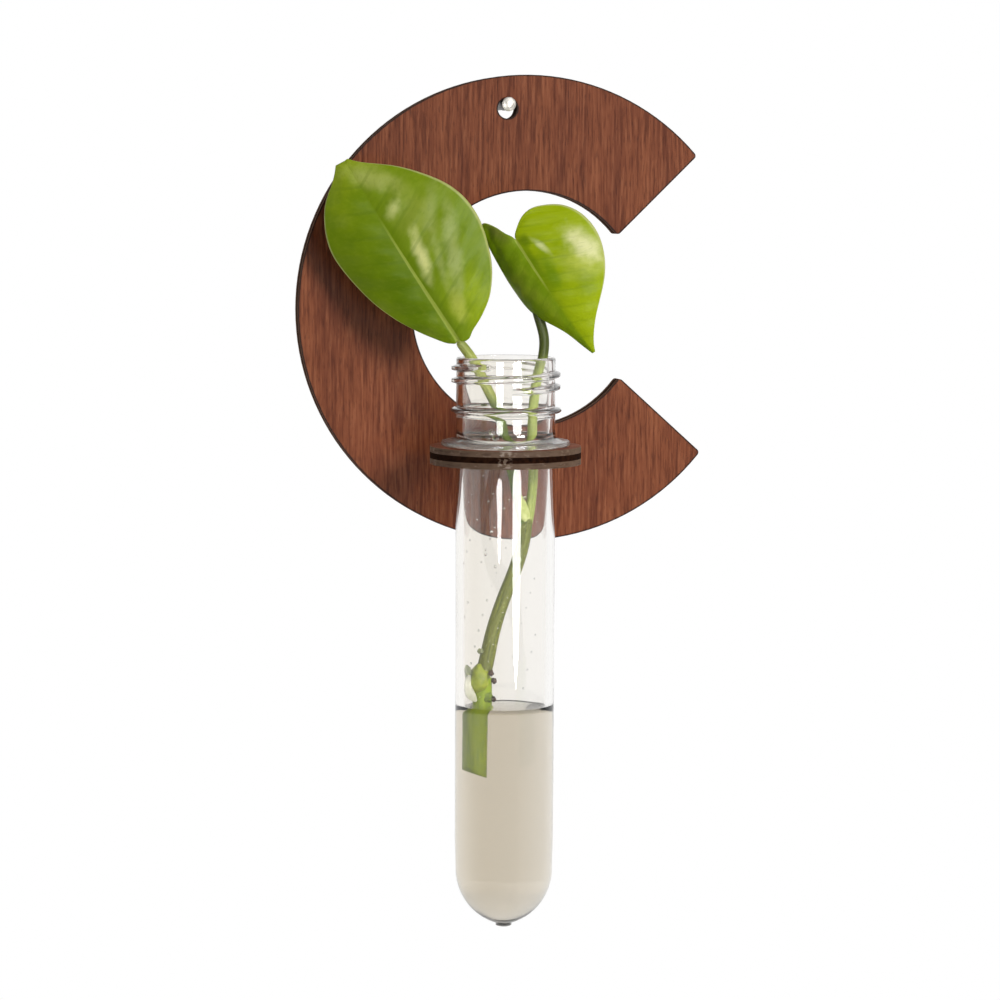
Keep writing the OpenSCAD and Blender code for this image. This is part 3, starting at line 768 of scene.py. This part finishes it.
def make_flesh(name, light, dark, rough=0.4, clear=0.0):
    """Mottled plant matter for knobs, buds, scales and nubs. clear is how glassy it is."""
    paint = Paint(name)
    cloud = paint.noise(420, 4, 0.6)
    fibres = paint.noise((1500, 1500, 260), 3)
    colour = paint.tint(paint.ramp(cloud, (0.35, dark), (0.62, light)), dark, fibres, 0.3)
    paint.set(Base_Color=colour, Roughness=paint.between(fibres, rough - 0.08, rough + 0.12))
    paint.set(Transmission_Weight=clear, IOR=1.4)
    paint.bump(paint.plus(cloud, fibres), 0.2 * MM, 0.5)
    return paint.material


def make_floor():
    """A pale floor that keeps a shadow in its middle and is plain white round its rim."""
    paint = Paint("pale_floor")
    grit = paint.noise(60, 4)
    paint.set(Base_Color=paint.ramp(grit, (0.2, (0.8, 0.8, 0.79, 1)), (0.8, (0.84, 0.84, 0.83, 1))))
    paint.set(Roughness=0.7)
    path = paint.node("LightPath").outputs
    seen = paint.math("MAXIMUM", path["Is Camera Ray"], path["Is Glossy Ray"])
    seen = paint.math("MAXIMUM", seen, path["Is Transmission Ray"])
    rim = paint.rise(paint.vector("LENGTH", paint.place), FLOOR_R * 0.45, FLOOR_R * 0.95)
    paint.veil(paint.times(seen, rim), paint.node("Emission"))
    return paint.material


def arc(mid, radius, start, end, steps):
    """Points on an arc in the (radius, depth) plane; radius may be a pair for an ellipse."""
    wide, high = radius if isinstance(radius, tuple) else (radius, radius)
    points = []
    for i in range(steps + 1):
        angle = radians(start + (end - start) * i / steps)
        points.append((mid[0] + wide * cos(angle), mid[1] - high * sin(angle)))
    return points


def steps_between(radius, start, end, step):
    """Points down or up a straight wall, as (radius, depth)."""
    count = max(1, ceil(abs(end - start) / step))
    return [(radius, start + (end - start) * i / count) for i in range(1, count)]


def bore_radius(depth):
    """The bore's radius at a depth between its taper and its round end."""
    share = (depth - BORE_TAPER_FOOT) / (END_DEPTH - BORE_TAPER_FOOT)
    return BORE_R + (BORE_END_R - BORE_R) * min(1, max(0, share))


def bore_end(grow):
    """The bore's round end as (radius, depth), from its rim to the axis, a little larger by grow."""
    radius = END_ARC_R - WALL + grow
    last = degrees(acos(-END_ARC_MID / radius))
    points = arc((END_ARC_MID, END_DEPTH), radius, 0, -last, END_STEPS)
    return points[:-1] + [(0, points[-1][1])]


def tube_profile():
    """The tube's section as (radius, depth), from the gate mark up its outside, over the lip and
    down its bore."""
    gate = [(radius, TUBE_LEN - height) for radius, height in GATE_PROFILE]
    start = degrees(acos((GATE_FOOT_R - END_ARC_MID) / END_ARC_R))
    end = arc((END_ARC_MID, END_DEPTH), END_ARC_R, -start, 0, END_STEPS)
    under = arc((BODY_R + LEDGE_ROUND, LEDGE_FOOT + LEDGE_ROUND), LEDGE_ROUND, 180, 90, 4)
    low = arc((LEDGE_R - LEDGE_ROUND, LEDGE_FOOT - LEDGE_ROUND), LEDGE_ROUND, -90, 0, 5)
    high = arc((LEDGE_R - LEDGE_ROUND, LEDGE_TOP + LEDGE_ROUND), LEDGE_ROUND, 0, 90, 5)
    bead = arc((NECK_R, BEAD_DROP), (BEAD_R - NECK_R, BEAD_H / 2), -90, 90, 12)
    lip_out = arc((NECK_R - LIP_OUTER_ROUND, LIP_OUTER_ROUND), LIP_OUTER_ROUND, 0, 90, 6)
    lip_in = arc((NECK_BORE_R + LIP_INNER_ROUND, LIP_INNER_ROUND), LIP_INNER_ROUND, 90, 180, 5)
    thread_foot = THREAD_DROP + THREAD_PITCH * THREAD_TURNS + THREAD_BASE
    outside = (
        gate + end + steps_between(BODY_R, END_DEPTH, LEDGE_FOOT + LEDGE_ROUND, BODY_STEP)
        + under + low + high + LEDGE_SLOPE
        + steps_between(NECK_R, NECK_FOOT, BEAD_DROP + BEAD_H / 2, NECK_STEP)
        + bead + steps_between(NECK_R, BEAD_DROP - BEAD_H / 2, thread_foot, BEAD_STEP)
        + steps_between(NECK_R, thread_foot, LIP_OUTER_ROUND, THREAD_STEP)
    )
    bore = (
        steps_between(NECK_BORE_R, LIP_INNER_ROUND, BORE_TAPER_TOP, NECK_BORE_STEP)
        + [(NECK_BORE_R, BORE_TAPER_TOP), (BORE_R, BORE_TAPER_FOOT)]
        + [(bore_radius(d), d) for _, d in steps_between(0, BORE_TAPER_FOOT, END_DEPTH, BORE_STEP)]
        + bore_end(0)
    )
    return outside + lip_out + lip_in + bore


def thread_rise(angle, depth, radius):
    """How far the screw thread stands out of the neck's outer wall."""
    if abs(radius - NECK_R) > SAME:
        return 0
    first = (angle - THREAD_START) % TURN
    whole = THREAD_TURNS * TURN
    rise = 0
    for lap in range(ceil(THREAD_TURNS)):
        turned = first + lap * TURN
        centre = THREAD_DROP + THREAD_PITCH * (whole - turned) / TURN
        end = smooth_step(min(turned, whole - turned) / THREAD_LEAD)
        flank = (THREAD_BASE / 2 - abs(depth - centre)) / ((THREAD_BASE - THREAD_TOP) / 2)
        rise = max(rise, (THREAD_R - NECK_R) * end * smooth_step(flank))
    return rise


def angles(sides):
    """The angles round a closed row of points."""
    return [TURN * k / sides for k in range(sides)]


def lathe(profile, sides, rise=None):
    """Points and faces of a (radius, depth) profile turned about the tube's axis. It is closed
    where it meets the axis."""
    points, rows, faces = [], [], []
    for radius, depth in profile:
        count = sides if radius else 1
        rows.append([len(points) + k % count for k in range(sides)])
        for angle in angles(sides)[:count]:
            r = radius + (rise(angle, depth, radius) if rise else 0)
            points.append((AXIS.x + r * cos(angle), AXIS.y + r * sin(angle), LIP_Z - depth))
    for lower, upper in zip(rows, rows[1:]):
        for k in range(sides):
            m = (k + 1) % sides
            corners = (lower[k], lower[m], upper[m], upper[k])
            faces.append(tuple(dict.fromkeys(corners)))
    return points, faces


def make_tube(material):
    points, faces = lathe(tube_profile(), TUBE_SIDES, thread_rise)
    piece("clear_tube", points, faces, material, "tube", "clear_plastic", ["test_tube"])


def make_water_piece(material):
    """Still water that climbs the tube's wall and the cut stem, and overlaps the wall a little."""
    rim_r = bore_radius(AIR_H) + WATER_OVERLAP
    stub = in_tube(STUB_SHARE)
    profile = bore_end(WATER_OVERLAP)[::-1]
    profile += [(bore_radius(d) + WATER_OVERLAP, d) for d in WATER_ROWS]
    profile += [(rim_r * (1 - (i / WATER_RINGS) ** 1.6), AIR_H) for i in range(WATER_RINGS)]
    points, faces = lathe(profile + [(0, AIR_H)], WATER_SIDES)
    lifted = []
    for x, y, z in points:
        if abs(z - WATER_Z) < SAME:
            out = hypot(x - AXIS.x, y - AXIS.y)
            near = hypot(x - stub.x, y - stub.y) - STUB_R
            far = smooth_step((y - AXIS.y) / rim_r + 0.3)
            climb = FRONT_CLIMB + (BACK_CLIMB - FRONT_CLIMB) * far
            z += MENISCUS * climb * exp(-(rim_r - out) / MENISCUS_RUN)
            z += STEM_MENISCUS * exp(-max(0, near) / STEM_MENISCUS_RUN)
        lifted.append((x, y, z))
    piece("water_fill", lifted, faces, material, "tube", "water", ["water"])


def drop_wall_radius(depth):
    """How far the middle of a drop on the inner wall is from the tube's axis."""
    if depth > BORE_TAPER_FOOT:
        return bore_radius(depth)
    share = (depth - BORE_TAPER_TOP) / (BORE_TAPER_FOOT - BORE_TAPER_TOP)
    return NECK_BORE_R + (BORE_R - NECK_BORE_R) * smooth_step(share)


def make_droplets(material):
    """Drops on the tube's inner wall, over the water: a few large ones and many small ones."""
    drops = list(LARGE_DROPS)
    for number in range(SMALL_DROPS):
        turn, depth, size = (number * step % 1 for step in DROP_STEPS)
        shares = (turn, depth ** 2, size)
        drops.append([a + b * share for a, b, share in zip(DROP_LOW, DROP_RANGE, shares)])
    mesh = bmesh.new()
    for turn, depth, size in drops:
        angle, depth, size = radians(turn), depth * MM, size * MM
        out = Vector((sin(angle), -cos(angle), 0)) * drop_wall_radius(depth)
        place = Matrix.Translation(Vector((AXIS.x, AXIS.y, LIP_Z - depth)) + out)
        flat = Matrix.Diagonal((size, size * 0.55, size * 1.15, 1))
        bmesh.ops.create_icosphere(
            mesh, subdivisions=2, radius=1, matrix=place @ Matrix.Rotation(angle, 4, "Z") @ flat
        )
    points, faces = taken(mesh)
    piece("wall_droplets", points, faces, material, "tube", "water")


def path_frames(points, steps):
    """The middles of a smooth path and the unit vectors along it."""
    spans = (len(points) - 1) * steps
    mids = [along(points, i / steps) for i in range(spans + 1)]
    ways = [
        (mids[min(i + 1, spans)] - mids[max(i - 1, 0)]).normalized() for i in range(spans + 1)
    ]
    return mids, ways


def sweep(points, radius):
    """A round stem along a list of places. radius is a function of the share of the way along and
    the angle round it."""
    mids, ways = path_frames(points, STEM_STEPS)
    made, marks, run = [], [], 0
    side = Vector((1, 0, 0))
    for i, (mid, way) in enumerate(zip(mids, ways)):
        u = (side - side.dot(way) * way).normalized()
        v = way.cross(u)
        run += (mid - mids[i - 1]).length if i else 0
        for angle in angles(STEM_SIDES):
            r = radius(i / (len(mids) - 1), angle)
            made.append(mid + r * (cos(angle) * u + sin(angle) * v))
            marks.append((run, angle, 0))
    return made, capped_faces(len(mids), STEM_SIDES), marks


def mark(made, name, values):
    """Stores a vector for each point of a piece."""
    layer = made.data.attributes.new(name, "FLOAT_VECTOR", "POINT")
    layer.data.foreach_set("vector", [c for value in values for c in value])


def stem_piece(name, shares, radius, material, node):
    points, faces, marks = sweep([in_tube(share) for share in shares], radius)
    mark(piece(name, points, faces, material, "cutting", "stem_green", [node]), "stem", marks)


def stalk_radius(share, angle):
    """A leaf stalk: thin under the leaf, a little thicker at its foot, with a shallow channel."""
    ends = 0.2 * smooth_step((share - 0.85) / 0.15) - 0.6 * exp(-share / 0.02)
    channel = 0.1 * max(0, cos(angle - 1.2)) ** 6
    return STALK_R * (0.94 + ends - channel)


def stem_radius(share, angle):
    """The main stem, with slight swellings and ribs."""
    ribs = 0.025 * sin(5 * angle + 4 * share)
    return STEM_R * (1 + (STEM_SWELL - 1) * share + 0.03 * sin(9 * share) + ribs)


def wave_height(waves, run, side, across):
    """How far a leaf's swells and waves lift a point of it."""
    swell, margin, rate, starts = waves
    swell *= cos(VEIN_RATE * (run - VEIN_LEAN * abs(side)) + pi / 2) * sin(pi * abs(across))
    return swell + margin * abs(across) ** 3 * sin(rate * run + starts[across > 0])


def leaf_points(length, minus_shares, plus_shares, hand, fold, waves, curl):
    """A leaf's upper face in its own frame: x to the tip, z to the viewer. hand is 1 where y runs
    to the right margin, seen from the front, and -1 where it runs to the left."""
    last = len(RIB_SHARES) - 1
    ribs = [(share, 0) for share in RIB_SHARES]
    points, marks = [], []
    for i in range(LEAF_ROWS + 1):
        t = last * i / LEAF_ROWS
        share = along(ribs, t)[0] if i < LEAF_ROWS else 1
        rib = Vector((share * length, 0, RIB_BOW * length * sin(pi * share)))
        for k in range(-LEAF_COLUMNS, LEAF_COLUMNS + 1):
            way = -1 if k < 0 else 1
            end = along(minus_shares if k < 0 else plus_shares, t)
            v = abs(k) / LEAF_COLUMNS
            y = max(0, end[1]) * length
            margin = (end[0] * length, way * y * cos(fold), rib.z - y * sin(fold))
            point = rib.lerp(Vector(margin), v)
            point.z += HALF_BOW * y * sin(pi * v)
            ways = (point.x / length, hand * point.y / length, hand * way * v)
            point.z += wave_height(waves, *ways) * sin(pi * min(1, share + 0.06))
            point.z -= RIB_GROOVE * exp(-(v * y / RIB_GROOVE_RUN) ** 2) * (1 - share)
            points.append(point + curl(i / LEAF_ROWS, ways[2]) if curl else point)
            marks.append(ways)
    return points, marks


def leaf_piece(name, node, base, turn, length, minus, plus, hand, fold, material, waves, curl=None):
    """A blade of even thickness. Its midrib starts at base, and turn is in degrees."""
    local, marks = leaf_points(length, minus, plus, hand, fold, waves, curl)
    turned = Euler([radians(a) for a in turn], "XYZ").to_matrix()
    points = [base + turned @ point for point in local]
    faces = strip_faces(LEAF_ROWS + 1, 2 * LEAF_COLUMNS + 1, False)
    made = piece(name, points, faces, material, "cutting", "leaf_green", [node])
    mark(made, "leaf", marks)
    made.data.flip_normals()
    blade = made.modifiers.new("blade", "SOLIDIFY")
    blade.thickness = LEAF_T
    blade.offset = -1
    rounded = made.modifiers.new("rounded", "SUBSURF")
    rounded.levels = 1
    rounded.render_levels = 1


def small_curl(row, across):
    """How the small leaf's lobes roll forwards at their margins."""
    roll = smooth_step((abs(across) - ROLL_START) / (1 - ROLL_START))
    roll *= exp(-((row - ROLL_MID) / ROLL_RUN) ** 2)
    return (LEFT_ROLL if across < 0 else RIGHT_ROLL) * roll


def blob(name, mid, size, material, slot, stands_for, roughness, seed, lobes=()):
    """A lumpy organic form about mid. lobes are (offset, radius) pairs that pull it outwards."""
    mesh = bmesh.new()
    bmesh.ops.create_icosphere(mesh, subdivisions=4, radius=1)
    ball, faces = taken(mesh)
    points = []
    for point in ball:
        way = point.normalized()
        grow = 1 + roughness * noise.noise(way * 1.7 + Vector((seed, 0, 0)))
        grow += 0.35 * roughness * noise.noise(way * 5 + Vector((0, seed, 0)))
        for towards, strength in lobes:
            grow += strength * max(0, way.dot(Vector(towards).normalized())) ** 4
        points.append(mid + Vector((way.x * size[0], way.y * size[1], way.z * size[2])) * grow)
    piece(name, points, faces, material, "cutting", slot, stands_for)


def scale_piece(name, points, form, material, node):
    """A thin scale: a flat curved strip that is widest at peak, a share of the way along."""
    half, peak, thickness = form
    mids, ways = path_frames(points, SCALE_STEPS)
    made = []
    for i, (mid, way) in enumerate(zip(mids, ways)):
        out = (mid - Vector((AXIS.x, AXIS.y - 40 * MM, mid.z))).normalized()
        u = way.cross(out).normalized()
        v = way.cross(u)
        share = i / (len(mids) - 1)
        bent = 0.5 * share / peak if share < peak else 1 - 0.5 * (1 - share) / (1 - peak)
        wide = SCALE_END_R + (half - SCALE_END_R) * sin(pi * bent)
        for angle in angles(SCALE_SIDES):
            made.append(mid + u * wide * cos(angle) + v * thickness * sin(angle))
    faces = capped_faces(len(mids), SCALE_SIDES)
    piece(name, made, faces, material, "cutting", "pale_scale", [node])


def make_stub(material):
    """The cut stem end under water, cut at a slant."""
    mid = in_tube(STUB_SHARE)
    top_z = in_tube(NODE_SHARE).z
    foot_z = WATER_Z - STUB_DEPTH
    points, marks = [], []
    for i in range(STUB_RINGS + 1):
        share = i / STUB_RINGS
        for angle in angles(STUB_SIDES):
            r = STUB_R * (1 + 0.02 * sin(3 * angle + 5 * share) + 0.04 * (1 - share))
            x = r * cos(angle)
            cut = foot_z + (STUB_R - x) * tan(STUB_SLANT)
            z = top_z + (cut - top_z) * share
            points.append(Vector((mid.x + x, mid.y + r * sin(angle), z)))
            marks.append((share * (top_z - foot_z), angle, 0))
    faces = capped_faces(STUB_RINGS + 1, STUB_SIDES)
    made = piece("stub", points, faces, material, "cutting", "stem_green", ["cut_stem_end"])
    mark(made, "stem", marks)


def make_stems():
    """The main stem and the leaf stalks. The stalks are darker where light misses
    them: one in the neck, one behind its leaf."""
    stem = make_stem("stem_green", rgb(112, 116, 44), rgb(68, 78, 20), rgb(178, 182, 122))
    left = make_stem(
        "stalk_green", rgb(160, 164, 88), rgb(118, 130, 54), rgb(192, 196, 136),
        (LIP_Z - 7 * MM, LIP_Z - 13 * MM, (0.3, 0.4, 0.15, 1)),
    )
    right = make_stem(
        "dark_stalk_green", rgb(158, 168, 92), rgb(118, 134, 54), rgb(190, 196, 136),
        (LIP_Z - 5 * MM, LIP_Z + 2 * MM, (0.22, 0.24, 0.12, 1)),
    )
    right_shares = [RIGHT_STALK_TOP] + RIGHT_STALK_SHARES[1:]
    stem_piece("stem", STEM_SHARES, stem_radius, stem, "main_stem")
    stem_piece("left_leaf_stalk", LEFT_STALK_SHARES, stalk_radius, left, "left_stalk")
    stem_piece("right_leaf_stalk", right_shares, stalk_radius, right, "right_stalk")


def make_leaves():
    large = make_leaf(
        "large_leaf_green", rgb(106, 129, 16), rgb(114, 137, 24), rgb(150, 162, 60),
        rgb(80, 106, 6), 0.75, LARGE_PATCHES,
    )
    # The small leaf's right half is painted lighter than its left: painted light and shade on its
    # halves.
    small = make_leaf(
        "small_leaf_green", rgb(113, 140, 17), rgb(145, 164, 8), rgb(176, 188, 60),
        rgb(102, 128, 4), 0.5, SMALL_PATCHES,
    )
    leaf_piece(
        "large_leaf_blade", "large_leaf", in_tube(LEFT_STALK_SHARES[0]), LARGE_LEAF_TURN,
        LARGE_LEAF_LEN, LARGE_RIGHT_SHARES, LARGE_LEFT_SHARES, -1, LARGE_FOLD, large,
        LARGE_WAVES,
    )
    leaf_piece(
        "small_leaf_blade", "small_leaf", in_tube(RIGHT_STALK_SHARES[0]), SMALL_LEAF_TURN,
        SMALL_LEAF_LEN, SMALL_LEFT_SHARES, SMALL_RIGHT_SHARES, 1, SMALL_FOLD, small,
        SMALL_WAVES, small_curl,
    )


def make_joint():
    """The stem's cut end, its swollen joint with bud, dry scale and nubs, and the stalks' scale."""
    make_stub(make_stem("stub_green", rgb(132, 150, 3), rgb(108, 132, 1), rgb(154, 170, 18)))
    knob = make_flesh("knob_green", rgb(144, 154, 28), rgb(106, 120, 12))
    bud = make_flesh("bud_green", rgb(116, 136, 30), rgb(78, 96, 14))
    dry = make_flesh("dry_scale", rgb(240, 240, 228), rgb(206, 208, 182), 0.4, 0.55)
    sheath = make_flesh("young_scale", rgb(196, 202, 140), rgb(150, 162, 76), 0.45)
    nub = make_flesh("corky_nub", rgb(88, 66, 50), rgb(44, 28, 20), 0.6)
    husk = make_flesh("green_husk", rgb(142, 148, 112), rgb(96, 104, 72), 0.6)
    mid = in_tube(NODE_SHARE)
    blob(
        "knob", mid, (NODE_R * 0.9, NODE_R * 0.9, NODE_R * 1.15), knob, "stem_green",
        ["stem_node"], 0.2, 3.1, [((0.3, 0, 1), 0.12), ((0.2, -0.3, -1), 0.1)],
    )
    blob("bud", in_tube(BUD_SHARE), (BUD_R,) * 3, bud, "stem_green", ["side_bud"], 0.25, 7.7)
    path = [mid + NODE_R * Vector(share) for share in SCALE_SHARES]
    scale_piece("dry_leaf_scale", path, DRY_SCALE, dry, "dry_sheath")
    path = [in_tube(share) for share in SHEATH_SHARES]
    scale_piece("stalk_scale", path, STALK_SCALE, sheath, "stalk_sheath")
    for number, share in enumerate(NUB_SHARES):
        size = SMALL_NUB if number else LARGE_NUB
        lobe = ((1 - number, -0.2, 0.4), 0.5) if number else ((-0.6, 0, 1), 0.6)
        blob(
            f"nub_{number + 1}", in_tube(share), size, husk if number in GREEN_NUBS else nub,
            "dark_nub", ["root_nubs"], 0.35, 2.3 * number, [lobe],
        )


def make_hanger():
    dress(make_plate_veneer(), "veneer", "plate_front_layer", "plate_rear_layer")
    dress(make_ring_veneer(), "veneer", "ring_top_layer", "ring_bottom_layer")
    dress(make_core(), "dark_core", "plate_core_layer", "ring_core_layer")
    dress(make_steel(), "nail_steel", "hanging_nail")


def make_camera():
    data = bpy.data.cameras.new("camera")
    data.lens = CAMERA_LENS
    data.sensor_width = CAMERA_SENSOR
    camera = link(bpy.data.objects.new("camera", data))
    camera.matrix_world = (
        Matrix.Translation(CAMERA_PLACE)
        @ Matrix.Rotation(-CAMERA_YAW, 4, "Z")
        @ Matrix.Rotation(pi / 2 + CAMERA_PITCH, 4, "X")
        @ Matrix.Rotation(CAMERA_ROLL, 4, "Z")
    )
    bpy.context.scene.camera = camera


def lamp(name, azimuth, elevation, distance, size, power, seen, lights):
    """A soft lamp that looks at the object. Glass never shows it, so that it leaves no streaks in
    the tube."""
    data = bpy.data.lights.new(name, "AREA")
    data.shape = "ELLIPSE"
    data.size, data.size_y = size
    data.energy = power
    made = link(bpy.data.objects.new(name, data))
    a, e = radians(azimuth), radians(elevation)
    way = Vector((sin(a) * cos(e), -cos(a) * cos(e), sin(e)))
    made.location = LIT_POINT + way * distance
    made.rotation_euler = way.to_track_quat("Z", "Y").to_euler()
    made.visible_diffuse = lights
    made.visible_glossy = seen
    made.visible_transmission = False


def make_world():
    """White behind the object, for the camera, for glass and for gloss. Towards the room, where
    the camera stands, gloss sees a dimmer room. The world adds a little even light."""
    world = bpy.data.worlds.new("studio")
    bpy.context.scene.world = world
    world.use_nodes = True
    sky = Tree(world.node_tree)

    def mix(share, a, b):
        return sky.node("Mix", Factor=share, A=a, B=b).outputs["Result"]

    path = sky.node("LightPath").outputs
    way = sky.node("SeparateXYZ", sky.node("TexCoord").outputs["Generated"]).outputs
    behind = sky.node("MapRange", Value=way["Y"], From_Max=0.5).outputs["Result"]
    level = mix(path["Is Glossy Ray"], AMBIENT, mix(behind, ROOM, 1.0))
    level = mix(path["Is Transmission Ray"], level, 1.0)
    level = mix(path["Is Camera Ray"], level, 1.0)
    sky.fill(sky.tree.nodes["Background"], {"Strength": level, "Color": (1, 1, 1, 1)})


def make_stage():
    """A pale floor under the object, below the camera's view."""
    rim = [(FLOOR_R * cos(angle), FLOOR_R * sin(angle), 0) for angle in angles(FLOOR_SIDES)]
    floor = smooth_mesh("floor", rim, [tuple(range(FLOOR_SIDES))], make_floor())
    floor.location = (AXIS.x, AXIS.y, FLOOR_Z)


make_camera()
make_hanger()
make_tube(make_clear_plastic())
make_water_piece(make_water())
make_droplets(paint_water("drop_water", 900, 0.03, 0.02 * MM, 0.9).material)
make_stems()
make_leaves()
make_joint()
make_stage()
for values in LAMPS:
    lamp(*values)
make_world()
bpy.context.scene.view_settings.view_transform = "Standard"
